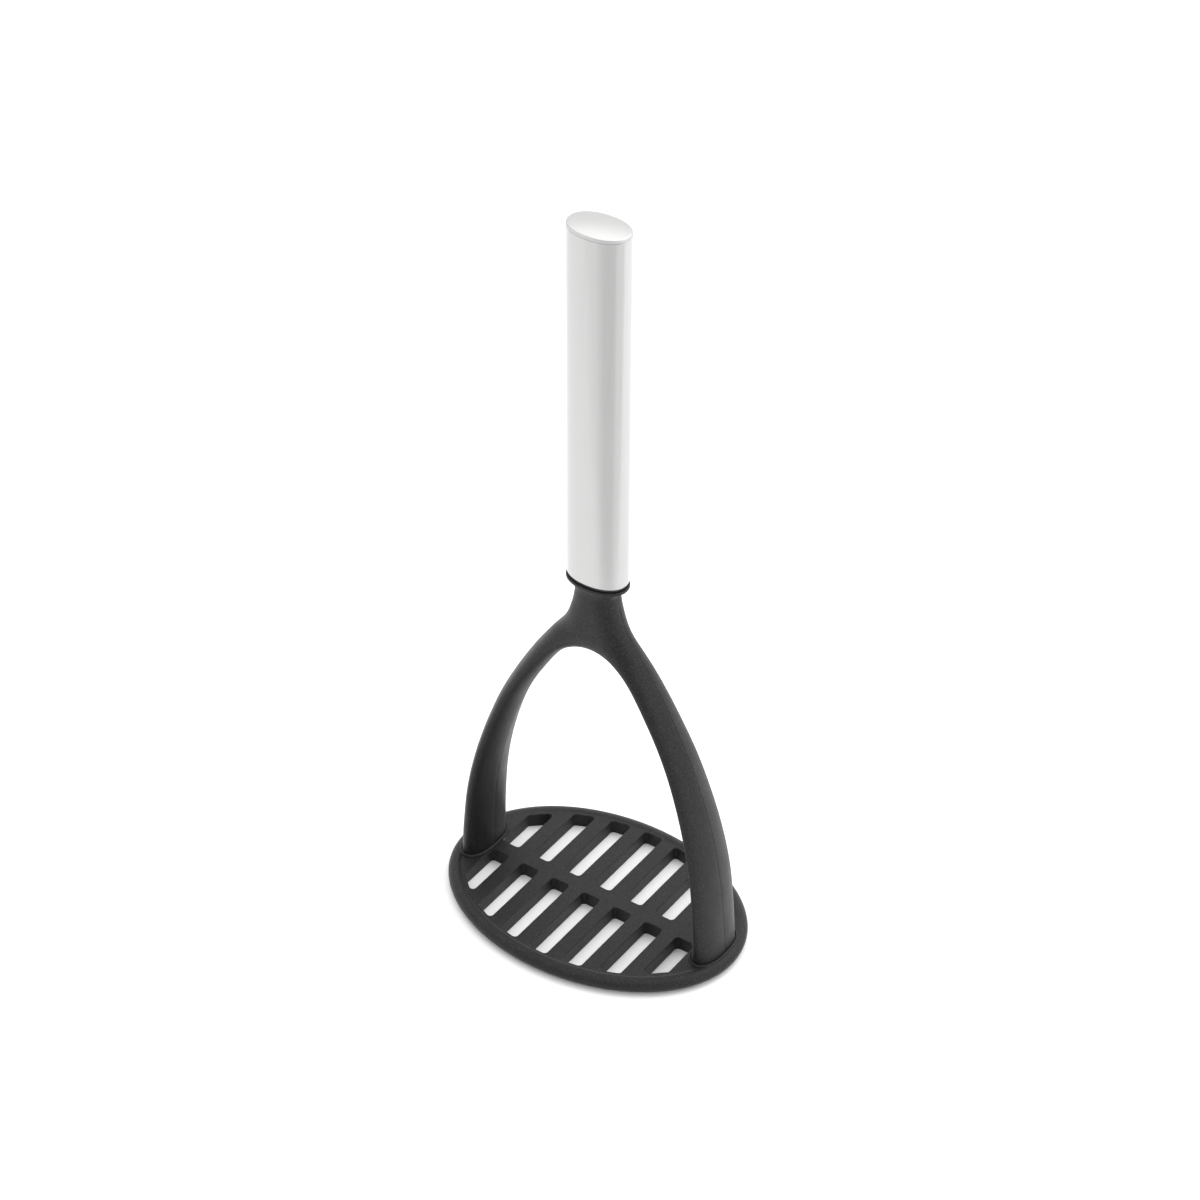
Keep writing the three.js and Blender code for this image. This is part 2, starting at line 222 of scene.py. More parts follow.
def linear(hex_colour):
    """An sRGB hex colour such as "#2b2b2c" as the linear RGBA that the nodes take."""
    channels = [int(hex_colour[i:i + 2], 16) / 255 for i in (1, 3, 5)]
    decode = lambda c: c / 12.92 if c <= 0.04045 else ((c + 0.055) / 1.055) ** 2.4
    return (*[decode(c) for c in channels], 1)


def new_material(name):
    """An empty material and its node tree."""
    material = bpy.data.materials.new(name)
    material.use_nodes = True
    material.node_tree.nodes.clear()
    return material, material.node_tree


FLOOR_FRONT = 0.175       # metres from the middle of the plate to the sheet's front edge
FLOOR_BACK = 3.0
FLOOR_HALF_WIDTH = 2.5
FLOOR_DROP = 0.02 * MM    # how far the sheet lies under the plate

to_viewer = Vector((math.sin(CAMERA_AZIMUTH), -math.cos(CAMERA_AZIMUTH), 0))
floor_level = cad_box[0][2] - FLOOR_DROP
floor_bm = bmesh.new()
floor_bm.faces.new([
    floor_bm.verts.new(ahead * to_viewer + aside * right + Vector((0, 0, floor_level)))
    for ahead, aside in ((FLOOR_FRONT, -FLOOR_HALF_WIDTH), (FLOOR_FRONT, FLOOR_HALF_WIDTH),
                         (-FLOOR_BACK, FLOOR_HALF_WIDTH), (-FLOOR_BACK, -FLOOR_HALF_WIDTH))])
floor_mesh = bpy.data.meshes.new("floor")
floor_bm.to_mesh(floor_mesh)
floor_bm.free()
floor = bpy.data.objects.new("floor", floor_mesh)
scene.collection.objects.link(floor)

paper, tree = new_material("white paper sweep")
surface = add_node(tree, "ShaderNodeBsdfPrincipled", {
    "Base Color": linear("#f2f2f2"), "Roughness": 0.9, "Specular IOR Level": 0.2})
add_node(tree, "ShaderNodeOutputMaterial", {"Surface": surface.outputs["BSDF"]})
floor_mesh.materials.append(paper)

ROOM_BRIGHTNESS = 1.3
GAP_BRIGHTNESS = 1.04
GAP_AZIMUTH = math.radians(23.7)          # from straight in front, towards +X
GAP_EDGE = 0.71           # cosine of the angle from the gap's middle at which it starts
GAP_CORE = 0.785          # the same, where it is at its darkest

to_gap = Vector((math.sin(GAP_AZIMUTH), -math.cos(GAP_AZIMUTH), 0))
world = bpy.data.worlds.new("studio")
world.use_nodes = True
tree = world.node_tree
tree.nodes.clear()
direction = add_node(tree, "ShaderNodeTexCoord").outputs["Generated"]
facing_gap = add_node(tree, "ShaderNodeVectorMath", {0: direction, 1: to_gap},
                      operation="DOT_PRODUCT").outputs["Value"]
room_light = add_node(tree, "ShaderNodeMapRange", {
    "Value": facing_gap, "From Min": GAP_EDGE, "From Max": GAP_CORE,
    "To Min": ROOM_BRIGHTNESS, "To Max": GAP_BRIGHTNESS},
    interpolation_type="SMOOTHSTEP").outputs["Result"]
background = add_node(tree, "ShaderNodeBackground", {
    "Color": linear("#ffffff"), "Strength": room_light})
add_node(tree, "ShaderNodeOutputWorld", {"Surface": background.outputs["Background"]})
scene.world = world
scene.view_settings.view_transform = "Standard"


SOFTBOXES = [             # name, place and size in metres, power in watts
    ("key softbox", (0.6, 0.75, 1.1), (1.2, 1.2), 8),
    ("top softbox", (-0.25, 0.25, 1.5), (1.5, 1.5), 7),
    ("side softbox", (0.95, -0.05, 0.3), (0.4, 0.5), 1),
]
LAMP_AIM = Vector((0, 0, 0.1))

for name, place, size, power in SOFTBOXES:
    data = bpy.data.lights.new(name, "AREA")
    data.shape = "RECTANGLE"
    data.size, data.size_y = size
    data.energy = power
    lamp = bpy.data.objects.new(name, data)
    lamp.location = place
    lamp.rotation_euler = (LAMP_AIM - Vector(place)).to_track_quat("-Z", "Y").to_euler()
    scene.collection.objects.link(lamp)
print(len(SOFTBOXES), "softboxes, floor at", round(floor_level / MM, 3), "mm")

# %% [markdown]
# ## Brushed stainless steel
# The handle is drawn 18/10 stainless tube, ground lengthwise with a fine belt. The belt
# leaves hair-thin grooves along the tube, so a reflection stays soft all over and the
# steel looks satin. Grooves of a 240-grit belt are about 0.03 mm apart; they are drawn
# 0.12 mm apart here, so that they show. The lid is the same steel with a duller finish.

# %% Brushed stainless steel
BRUSH_SPACING = 0.12 * MM
BRUSH_LENGTH = 18 * MM
CLOUDS_PER_METRE = 60


def brushed_steel(name, smoothest, roughest):
    """Stainless steel with lengthwise grooves, and a roughness that varies in soft clouds."""
    material, tree = new_material(name)
    place = add_node(tree, "ShaderNodeTexCoord")
    lengthwise = add_node(tree, "ShaderNodeMapping", {
        "Vector": place.outputs["Object"],
        "Scale": (1 / BRUSH_SPACING, 1 / BRUSH_SPACING, 1 / BRUSH_LENGTH)})
    grooves = add_node(tree, "ShaderNodeTexNoise", {
        "Vector": lengthwise.outputs["Vector"], "Scale": 1.0, "Detail": 3.0,
        "Roughness": 0.6})
    clouds = add_node(tree, "ShaderNodeTexNoise", {
        "Vector": place.outputs["Object"], "Scale": CLOUDS_PER_METRE, "Detail": 2.0})
    tint = add_node(tree, "ShaderNodeMix", {
        "Factor": grooves.outputs["Fac"], "A": linear("#b3b3b3"), "B": linear("#c0c0bf")},
        data_type="RGBA")
    roughness = add_node(tree, "ShaderNodeMapRange", {
        "Value": clouds.outputs["Fac"], "From Min": 0.3, "From Max": 0.7,
        "To Min": smoothest, "To Max": roughest})
    groove_bump = add_node(tree, "ShaderNodeBump", {
        "Height": grooves.outputs["Fac"], "Strength": 0.06, "Distance": 0.05 * MM})
    steel = add_node(tree, "ShaderNodeBsdfPrincipled", {
        "Base Color": tint.outputs["Result"], "Metallic": 1.0,
        "Roughness": roughness.outputs["Result"], "Normal": groove_bump.outputs["Normal"]})
    add_node(tree, "ShaderNodeOutputMaterial", {"Surface": steel.outputs["BSDF"]})
    return material


brushed_stainless = brushed_steel("brushed stainless steel", smoothest=0.2, roughest=0.25)
ground_stainless = brushed_steel("ground stainless steel", smoothest=0.38, roughest=0.44)
print("steel for the tube:", brushed_stainless.name, "- for the lid:", ground_stainless.name)

# %% [markdown]
# ## Moulded glass-filled nylon
# The yoke and the plate are black nylon 6 with glass fibre, injected into a mould whose
# walls are spark eroded. The spark leaves a fine grain, about 0.1 mm across, that scatters
# the light, so even a smooth curve has a dull, dusty sheen. The grain is drawn 0.45 mm
# across, so that it shows. Thick and thin parts cool at different speeds, which leaves
# faint cloudy patches.

# %% Moulded nylon
GRAIN_SIZE = 0.45 * MM
PATCH_SIZE = 9 * MM

moulded_nylon, tree = new_material("moulded glass-filled nylon")
place = add_node(tree, "ShaderNodeTexCoord")
grain = add_node(tree, "ShaderNodeTexNoise", {
    "Vector": place.outputs["Object"], "Scale": 1 / GRAIN_SIZE, "Detail": 2.0,
    "Roughness": 0.7})
patches = add_node(tree, "ShaderNodeTexNoise", {
    "Vector": place.outputs["Object"], "Scale": 1 / PATCH_SIZE, "Detail": 3.0})
black = add_node(tree, "ShaderNodeMix", {
    "Factor": patches.outputs["Fac"], "A": linear("#09090a"), "B": linear("#0f0f10")},
    data_type="RGBA")
speckle = add_node(tree, "ShaderNodeMapRange", {
    "Value": grain.outputs["Fac"], "From Min": 0.5, "From Max": 0.72,
    "To Min": 0.0, "To Max": 0.07})
nylon_roughness = add_node(tree, "ShaderNodeMapRange", {
    "Value": patches.outputs["Fac"], "From Min": 0.3, "From Max": 0.7,
    "To Min": 0.44, "To Max": 0.52})
speckled = add_node(tree, "ShaderNodeMix", {
    "Factor": 0.35, "A": black.outputs["Result"], "B": speckle.outputs["Result"]},
    data_type="RGBA")
grain_bump = add_node(tree, "ShaderNodeBump", {
    "Height": grain.outputs["Fac"], "Strength": 0.8, "Distance": 0.12 * MM})
nylon = add_node(tree, "ShaderNodeBsdfPrincipled", {
    "Base Color": speckled.outputs["Result"], "Roughness": nylon_roughness.outputs["Result"],
    "Normal": grain_bump.outputs["Normal"], "Specular IOR Level": 0.27,
    "Sheen Weight": 0.12, "Sheen Roughness": 0.35})
add_node(tree, "ShaderNodeOutputMaterial", {"Surface": nylon.outputs["BSDF"]})
print("nylon:", moulded_nylon.name, "with", len(tree.nodes), "nodes")

# %% [markdown]
# ## Rubber and the hidden parts' materials
# The seal is soft black rubber, dull and nearly featureless. The plug that fills the tube
# is plain grey nylon, and the two pins through it are cut from spring steel wire.

# %% Rubber, plug nylon and pin steel


def plain_material(name, light, dark, scale, roughness, metallic=0.0):
    """A material with a slight clouding between two colours, of a size in metres."""
    material, tree = new_material(name)
    place = add_node(tree, "ShaderNodeTexCoord")
    clouding = add_node(tree, "ShaderNodeTexNoise", {
        "Vector": place.outputs["Object"], "Scale": 1 / scale, "Detail": 3.0})
    colour = add_node(tree, "ShaderNodeMix", {
        "Factor": clouding.outputs["Fac"], "A": linear(dark), "B": linear(light)},
        data_type="RGBA")
    bump = add_node(tree, "ShaderNodeBump", {
        "Height": clouding.outputs["Fac"], "Strength": 0.2, "Distance": 0.04 * MM})
    shader = add_node(tree, "ShaderNodeBsdfPrincipled", {
        "Base Color": colour.outputs["Result"], "Roughness": roughness,
        "Metallic": metallic, "Normal": bump.outputs["Normal"]})
    add_node(tree, "ShaderNodeOutputMaterial", {"Surface": shader.outputs["BSDF"]})
    return material


seal_rubber = plain_material("black seal rubber", "#303030", "#272727",
                             scale=0.5 * MM, roughness=0.7)
plug_nylon = plain_material("moulded grey nylon", "#5c5f61", "#505355",
                            scale=0.6 * MM, roughness=0.55)
pin_steel = plain_material("drawn spring steel", "#a3a5a7", "#96989a",
                           scale=0.3 * MM, roughness=0.35, metallic=1.0)
print("also:", seal_rubber.name, "/", plug_nylon.name, "/", pin_steel.name)

# %% [markdown]
# ## Handle tube
# The tube is one length of thin oval pipe. Its section is a superellipse, a little squarer
# than an ellipse. The wall's own section, a tall thin loop with eased edges, is repeated
# around the oval, which gives the tube its inner face as well.

# %% Handle tube
HANDLE_SQUARENESS = 2.15
HANDLE_POINTS = 160
TUBE_WALL = 0.8
TUBE_EDGE_EASE = 0.15
EASE_MIDDLE = 0.3         # where the middle point of an eased edge lies, as a share of it


def handle_ring(inset, height):
    """The handle's section at a height, drawn in by an inset (millimetres)."""
    flat = superellipse(handle_half_width - inset, handle_half_depth - inset,
                        HANDLE_SQUARENESS, HANDLE_POINTS)
    return [(x, y, height) for x, y in flat]


def wall_profile(low, high, wall, ease):
    """The wall's section as [inset, height] points, up the outside and down the inside."""
    middle = ease * EASE_MIDDLE
    return [
        (ease, low), (middle, low + middle), (0, low + ease),
        (0, high - ease), (middle, high - middle), (ease, high),
        (wall, high), (wall, low),
    ]


bm = bmesh.new()
stack_rings(bm, [handle_ring(*point) for point in
                 wall_profile(tube_bottom, tube_top, TUBE_WALL, TUBE_EDGE_EASE)], loop=True)
tube = new_object("brushed_tube", bm)
tube.data.materials.append(brushed_stainless)
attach(tube, "root")
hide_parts("handle_tube")
describe(tube)

# %% [markdown]
# ## End cap
# The lid is a pressed steel oval, slightly domed, with a spigot that drops into the tube.
# It is welded on and ground flush, so the seam is only a hairline. Rings from the spigot
# outwards, up over the crisp edge and in to the crown give its shape.

# %% End cap
SEAM_WIDTH = 0.05
SEAM_EASE = 0.08
CAP_EDGE_ROUND = 0.45
CAP_EDGE_STEPS = 4
SPIGOT_GAP = 0.3
DOME_HEIGHT = 0.9
CROWN_RINGS = 14

cap_bottom = tube_top + SEAM_WIDTH
edge_top = total_height - DOME_HEIGHT
spigot_inset = TUBE_WALL + SPIGOT_GAP
cap_profile = [
    (spigot_inset, cap_low.z / MM), (spigot_inset, cap_bottom), (SEAM_EASE, cap_bottom),
    (0, cap_bottom + SEAM_EASE), (0, edge_top - CAP_EDGE_ROUND),
]
for step in range(1, CAP_EDGE_STEPS + 1):
    angle = step / CAP_EDGE_STEPS * math.pi / 2
    cap_profile.append((CAP_EDGE_ROUND * (1 - math.cos(angle)),
                        edge_top - CAP_EDGE_ROUND * (1 - math.sin(angle))))
rings = [handle_ring(*point) for point in cap_profile]
edge_ring = rings[-1]
for step in range(1, CROWN_RINGS):
    reach = 1 - step / CROWN_RINGS
    lift = DOME_HEIGHT * (1 - reach ** 2)
    rings.append([(x * reach, y * reach, edge_top + lift) for x, y, _ in edge_ring])
bm = bmesh.new()
stack_rings(bm, rings)
cap = new_object("domed_end_cap", bm)
cap.data.materials.append(ground_stainless)
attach(cap, "root")
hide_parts("handle_end_cap")
describe(cap)

# %% [markdown]
# ## Seal
# A soft ring lies between the yoke's collar and the tube. It is hardly seen: a thin black
# line, set back a little from both.

# %% Seal
SEAL_INSET = 0.35
SEAL_WIDTH = 3.2
SEAL_EDGE_EASE = 0.1

bm = bmesh.new()
seal_bottom, seal_top = seal_low.z / MM, seal_high.z / MM
stack_rings(bm, [handle_ring(SEAL_INSET + inset, height) for inset, height in
                 wall_profile(seal_bottom, seal_top, SEAL_WIDTH, SEAL_EDGE_EASE)], loop=True)
seal = new_object("collar_ring", bm)
seal.data.materials.append(seal_rubber)
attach(seal, "root")
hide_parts("collar_seal")
describe(seal)

# %% [markdown]
# ## Yoke
# One moulding: two feet, two arms that lean together into an arch, a neck, a collar for
# the tube to stand on, and a tang inside the tube. It has two planes of symmetry, so only
# a quarter is built and then mirrored.
#
# The quarter is a sheet of points. Each row of the sheet is a station: a straight line
# across the arm from its inner edge to its outer edge, seen from the front. The distance
# of a point from both edges says how far the surface bulges forward there. Above the arch
# the inner end of the line is the yoke's middle instead of an inner edge.

# %% Yoke outline and widths, in millimetres
ARM_OUTER_EDGE = [
    (54.8, -6), (54.6, 2), (53.4, 20), (50.9, 40), (46.4, 60), (39.5, 80), (32.2, 95),
    (24.6, 108), (17.8, 118), (12, 126), (9, 134), (7.8, 141), (7.7, 148),
]
ARM_INNER_EDGE = [
    (44.4, -6), (44.6, 2), (44.5, 20), (42.9, 40), (38.2, 60), (31.2, 80), (22.9, 96),
    (12.4, 110.6), (0, 115.4), (-12.4, 110.6),
]
YOKE_HALF_WIDTH = [
    (0, 11), (14, 11.15), (30, 11.2), (45, 10.7), (60, 9.8), (75, 8.8), (90, 7.8),
    (106, 6.9), (120, 6.1), (134, 5.95), (150, 6.0),
]
YOKE_SQUARENESS = [(0, 3), (15, 2.4), (40, 1.9), (110, 1.9), (128, 2.4), (150, 2.5)]
EDGE_ROUND = 8.0          # how far in from an edge the surface stops curving
CROTCH_HEIGHT = 115.4
GROOVE_HALF_WIDTH = 0.2   # of the mould's parting line along both edges
GROOVE_DEPTH = 0.14


def smooth_line(points, steps=24):
    """A Catmull-Rom line through points, from the second one on; the ends only steer it."""
    points = np.array(points, float)
    t = np.linspace(0, 1, steps, endpoint=False)[:, None]
    pieces = []
    for p0, p1, p2, p3 in zip(points, points[1:], points[2:], points[3:]):
        pieces.append(0.5 * (2 * p1 + (p2 - p0) * t + (2 * p0 - 5 * p1 + 4 * p2 - p3) * t ** 2
                             + (3 * p1 - p0 - 3 * p2 + p3) * t ** 3))
    return np.vstack([*pieces, points[-2:-1]])


def lookup(table, position):
    """A smooth table of (position, value) rows, read at one or many positions."""
    places, values = np.array(table, float).T
    slopes = np.gradient(values, places)
    i = np.clip(np.searchsorted(places, position) - 1, 0, len(places) - 2)
    step = places[i + 1] - places[i]
    t = np.clip((position - places[i]) / step, 0, 1)
    return ((1 + 2 * t) * (1 - t) ** 2 * values[i] + t * (1 - t) ** 2 * step * slopes[i]
            + t ** 2 * (3 - 2 * t) * values[i + 1] + t ** 2 * (t - 1) * step * slopes[i + 1])


def distance_to(line, points):
    """The distance of every point from a line of short straight pieces."""
    start, span = line[:-1], np.diff(line, axis=0)
    offset = points[:, None, :] - start[None]
    along = np.clip((offset * span).sum(-1) / (span ** 2).sum(-1), 0, 1)
    return np.linalg.norm(offset - along[..., None] * span, axis=-1).min(axis=1)


outer_line = smooth_line(ARM_OUTER_EDGE)
inner_line = smooth_line(ARM_INNER_EDGE)
print(len(outer_line), "points on the outer edge,", len(inner_line), "on the inner edge")

# %% [markdown]
# The stations are spread so that each crosses its arm squarely: a height on the inner edge
# goes with a height on the outer edge. Past the arch, the inner height climbs the middle.

# %% Stations across the arms and the neck
STATION_HEIGHTS = [        # inner height, outer height
    (2.5, 2.5), (60, 62), (96, 100), (110.6, 117.5), (CROTCH_HEIGHT, 125.5),
]
NECK_HEIGHTS = [(CROTCH_HEIGHT, 125.5), (126, 131.5), (138, 138)]
FOOT_STATIONS = 130
CROTCH_STATIONS = 40
NECK_STATIONS = 34


def along_line(line, heights):
    """How far along a line its points at some heights are, as fractional indices."""
    return np.interp(heights, line[:, 1], np.arange(len(line)))


def points_at(line, places):
    """The points of a line at fractional indices."""
    index = np.arange(len(line))
    return np.column_stack([np.interp(places, index, line[:, k]) for k in (0, 1)])


key_inner, key_outer = np.array(STATION_HEIGHTS).T
inner_keys = along_line(inner_line, key_inner)
outer_keys = along_line(outer_line, key_outer)
# The stations close up towards the arch, where the inner edge turns level.
inner_places = np.concatenate([
    np.linspace(inner_keys[0], inner_keys[2], FOOT_STATIONS, endpoint=False),
    np.linspace(inner_keys[2], inner_keys[4], CROTCH_STATIONS)])
arm_inner = points_at(inner_line, inner_places)
arm_outer = points_at(outer_line, np.interp(inner_places, inner_keys, outer_keys))

climb = 1 - np.cos(np.linspace(0, np.pi / 2, NECK_STATIONS + 1)[1:])
neck_keys, neck_outer_keys = np.array(NECK_HEIGHTS).T
middle_heights = CROTCH_HEIGHT + climb * (neck_keys[-1] - CROTCH_HEIGHT)
neck_inner = np.column_stack((np.zeros(NECK_STATIONS), middle_heights))
neck_outer = points_at(outer_line, along_line(
    outer_line, np.interp(middle_heights, neck_keys, neck_outer_keys)))
inner_ends = np.vstack((arm_inner, neck_inner))
outer_ends = np.vstack((arm_outer, neck_outer))
arm_count = len(arm_inner)
print(arm_count, "stations on the arm,", NECK_STATIONS, "on the neck")

# %% [markdown]
# Along a station the points crowd together near the edges, where the surface turns away.
# Both ends carry the parting line that the mould's two halves leave: a shallow groove.

# %% The quarter sheet of the yoke
EDGE_TURNS = np.array([0, 0.07, 0.12])           # the points nearest to an edge
SHEET_TURNS = (0.2, np.pi - 0.2, 24)             # the points between: first, last, how many
TURNS = np.concatenate((EDGE_TURNS, np.linspace(*SHEET_TURNS), np.pi - EDGE_TURNS[::-1]))
TIP = 0.03                # nothing but the middle itself comes nearer to the middle
CROWDING_LOW, CROWDING_HIGH = 96, 120            # heights where the crowding eases off
GROOVE_FADE_LOW, GROOVE_FADE_HIGH = 134, 138     # heights where the groove dies out


def ease(value):
    """Goes smoothly from 0 to 1."""
    value = np.clip(value, 0, 1)
    return value * value * (3 - 2 * value)


def bulge_from(distance, reach, exponent):
    """A rounding that starts upright at an edge and is flat past its reach."""
    return (1 - (1 - np.minimum(distance / reach, 1)) ** exponent) ** (1 / exponent)


def sheet_row(index):
    """One station's points in millimetres, outer end first."""
    inner, outer = inner_ends[index], outer_ends[index]
    on_neck = index >= arm_count
    crowding = 2 - ease((inner[1] - CROWDING_LOW) / (CROWDING_HIGH - CROWDING_LOW))
    share = np.cos(TURNS / 2) ** crowding
    share[-1] = 0
    flat = inner + share[:, None] * (outer - inner)
    if inner[0] < TIP:
        flat[1:-1, 0] = np.maximum(flat[1:-1, 0], TIP)
    exponent = lookup(YOKE_SQUARENESS, flat[:, 1])
    reach = EDGE_ROUND
    if on_neck:
        neck_half_width = np.interp(flat[:, 1], outer_line[:, 1], outer_line[:, 0])
        reach = np.minimum(EDGE_ROUND, neck_half_width)
    from_outer = distance_to(outer_line, flat)
    from_inner = distance_to(inner_line, flat)
    halfway = np.minimum((from_outer + from_inner) / 2, reach)
    bulge = (bulge_from(from_outer, reach, exponent) * bulge_from(from_inner, reach, exponent)
             / bulge_from(halfway, reach, exponent) ** 2)
    depth = np.minimum(lookup(YOKE_HALF_WIDTH, flat[:, 1]), yoke_half_depth) * bulge
    across = (outer - inner) / np.linalg.norm(outer - inner)
    fade = 1 - ease((outer[1] - GROOVE_FADE_LOW) / (GROOVE_FADE_HIGH - GROOVE_FADE_LOW))
    depth[0] = 0
    flat[0] = outer - GROOVE_DEPTH * fade * across
    flat[1] = outer
    depth[1] = GROOVE_HALF_WIDTH
    if not on_neck:
        depth[-1] = 0
        flat[-1] = inner + GROOVE_DEPTH * across
        flat[-2] = inner
        if index == arm_count - 1:
            flat[-1] = inner + np.array((0, GROOVE_DEPTH))
        if inner[0] < TIP:
            flat[-2, 0] = TIP
        depth[-2] = GROOVE_HALF_WIDTH
    return np.column_stack((flat[:, 0], -depth, flat[:, 1]))


rows = [sheet_row(index) for index in range(len(inner_ends))]
print(len(rows), "rows of", len(TURNS), "points; the thickest reaches",
      round(max(-row[:, 1].min() for row in rows), 2), "mm forward")

# %% [markdown]
# Above the neck the sections are plain superellipses: a cove that flares out to the
# collar, the collar's eased edges, its flat top, and the squarer tang inside the tube.

# %% Cove, collar and tang
COVE_BOTTOM = 139.9
COVE_HEIGHT = 4.2
COVE_STEPS = 12
NECK_SQUARENESS = 2.5
NECK_HALF_WIDTH = 7.75
NECK_HALF_DEPTH = 5.95
COLLAR_OVERHANG = 0.3
COLLAR_TOP = 145.2
COLLAR_EASE = 0.3
COLLAR_EASE_STEPS = 4
TANG_HALF_WIDTH = 6.4
TANG_HALF_DEPTH = 3.4
TANG_SQUARENESS = 4
TANG_EASE = 0.6

collar_half_width = handle_half_width + COLLAR_OVERHANG
collar_half_depth = handle_half_depth + COLLAR_OVERHANG
tang_top = yoke_high.z / MM


def oval_row(half_x, half_y, exponent, height):
    """A quarter of a superellipse with the same spread of points as the sheet's rows."""
    turn = TURNS / 2
    return np.column_stack((
        half_x * np.cos(turn) ** (2 / exponent) * (TURNS < np.pi),
        -half_y * np.sin(turn) ** (2 / exponent), np.full(len(TURNS), height)))


for step in range(COVE_STEPS + 1):
    angle = step / COVE_STEPS * np.pi / 2
    flare = 1 - np.cos(angle)
    rows.append(oval_row(NECK_HALF_WIDTH + flare * (collar_half_width - NECK_HALF_WIDTH),
                         NECK_HALF_DEPTH + flare * (collar_half_depth - NECK_HALF_DEPTH),
                         NECK_SQUARENESS + flare * (HANDLE_SQUARENESS - NECK_SQUARENESS),
                         COVE_BOTTOM + COVE_HEIGHT * np.sin(angle)))
for step in range(COLLAR_EASE_STEPS + 1):
    angle = step / COLLAR_EASE_STEPS * np.pi / 2
    inset = COLLAR_EASE * (1 - np.cos(angle))
    rows.append(oval_row(collar_half_width - inset, collar_half_depth - inset,
                         HANDLE_SQUARENESS, COLLAR_TOP - COLLAR_EASE * (1 - np.sin(angle))))
ease_middle = TANG_EASE * EASE_MIDDLE
for inset, height in [(0, COLLAR_TOP), (0, 160), (0, 175), (0, tang_top - TANG_EASE),
                      (ease_middle, tang_top - ease_middle), (TANG_EASE, tang_top)]:
    rows.append(oval_row(TANG_HALF_WIDTH - inset, TANG_HALF_DEPTH - inset,
                         TANG_SQUARENESS, height))
print(len(rows), "rows, from the feet to the top of the tang")

# %% [markdown]
# The quarter is copied four times, mirrored to each side and to the front and back. The
# copies are welded where they meet, and the holes at the feet and the tang are filled.

# %% Mirror the quarter into the whole yoke
bm = bmesh.new()
for side, front in [(1, 1), (-1, 1), (1, -1), (-1, -1)]:
    flip = np.array((side, front, 1))
    sheet = [[bm.verts.new(Vector(point * flip) * MM) for point in row] for row in rows]
    for lower, upper in zip(sheet, sheet[1:]):
        for i in range(len(TURNS) - 1):
            bm.faces.new((lower[i], lower[i + 1], upper[i + 1], upper[i]))
bmesh.ops.remove_doubles(bm, verts=bm.verts, dist=WELD_DISTANCE)
open_edges = [edge for edge in bm.edges if len(edge.link_faces) == 1]
bmesh.ops.holes_fill(bm, edges=open_edges, sides=0)
yoke = new_object("moulded_yoke", bm)
yoke.data.materials.append(moulded_nylon)
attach(yoke, "root")
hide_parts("yoke")
describe(yoke)

# %% [markdown]
# ## Mashing plate
# One oval moulding with fourteen slots. The slots follow a rule: two rows of equal columns,
# square to a bar along the middle, with their outer ends cut off by a smaller oval. That
# rule is given to a Geometry Nodes tree, so the plate can be redrawn with other counts and
# sizes. The tree sweeps one section around every slot and another around the oval, then
# fills the flat faces between them.

# %% Sections of the slot wall and of the rim, in millimetres
WEB_THICKNESS = 5.5
SLOT_EDGE_EASE = 0.25
RIM_MID_HEIGHT = 3.2
RIM_TOP = 5.9
RIM_CREST_INSET = 3.4
RIM_FOOT_INSET = 4.4
RIM_INNER_INSET = 4.7
SECTION_STEPS = 10
SLOT_EDGE_STEPS = 4


def section_curve(name, points):
    """A section as a curve of straight pieces, [outwards, up] in millimetres."""
    data = bpy.data.curves.new(name, "CURVE")
    data.dimensions = "3D"
    spline = data.splines.new("POLY")
    spline.points.add(len(points) - 1)
    for point, (outwards, upwards) in zip(spline.points, points):
        point.co = (outwards * MM, -upwards * MM, 0, 1)
    section = bpy.data.objects.new(name, data)
    scene.collection.objects.link(section)
    return section


def arc(steps=SECTION_STEPS):
    """Sines and cosines along a quarter turn."""
    angles = np.linspace(0, np.pi / 2, steps + 1)
    return list(zip(np.sin(angles), np.cos(angles)))


slot_points = [(SLOT_EDGE_EASE * (1 - s), SLOT_EDGE_EASE * (1 - c))
               for s, c in arc(SLOT_EDGE_STEPS)]
slot_points += [(SLOT_EDGE_EASE * (1 - c), WEB_THICKNESS - SLOT_EDGE_EASE * (1 - s))
                for s, c in arc(SLOT_EDGE_STEPS)]
rim_points = [(-RIM_FOOT_INSET * (1 - s), RIM_MID_HEIGHT * (1 - c)) for s, c in arc()]
rim_points += [(-RIM_CREST_INSET * (1 - c), RIM_MID_HEIGHT + (RIM_TOP - RIM_MID_HEIGHT) * s)
               for s, c in arc()[1:]]
for share in (0.2, 0.4, 0.6, 0.8, 1):
    rim_points.append((-RIM_CREST_INSET - share * (RIM_INNER_INSET - RIM_CREST_INSET),
                       RIM_TOP - float(ease(share)) * (RIM_TOP - WEB_THICKNESS)))
slot_section = section_curve("slot wall section", slot_points)
rim_section = section_curve("rim section", rim_points)
print(len(slot_points), "points in the slot wall's section,", len(rim_points), "in the rim's")

# %% [markdown]
# The tree's inputs carry every number of the rule, with its name. A row of rectangles is
# drawn, their ends are moved to the centre bar and to the smaller oval, the second row is
# the first one turned round, and the corners are rounded.

# %% The node tree of the plate
OVAL_POINTS = 240
CORNER_POINTS = 6
SLOT_START_HEIGHT = 1 * MM       # any height will do: the ends are moved afterwards
PLATE_WELD_DISTANCE = 0.002 * MM

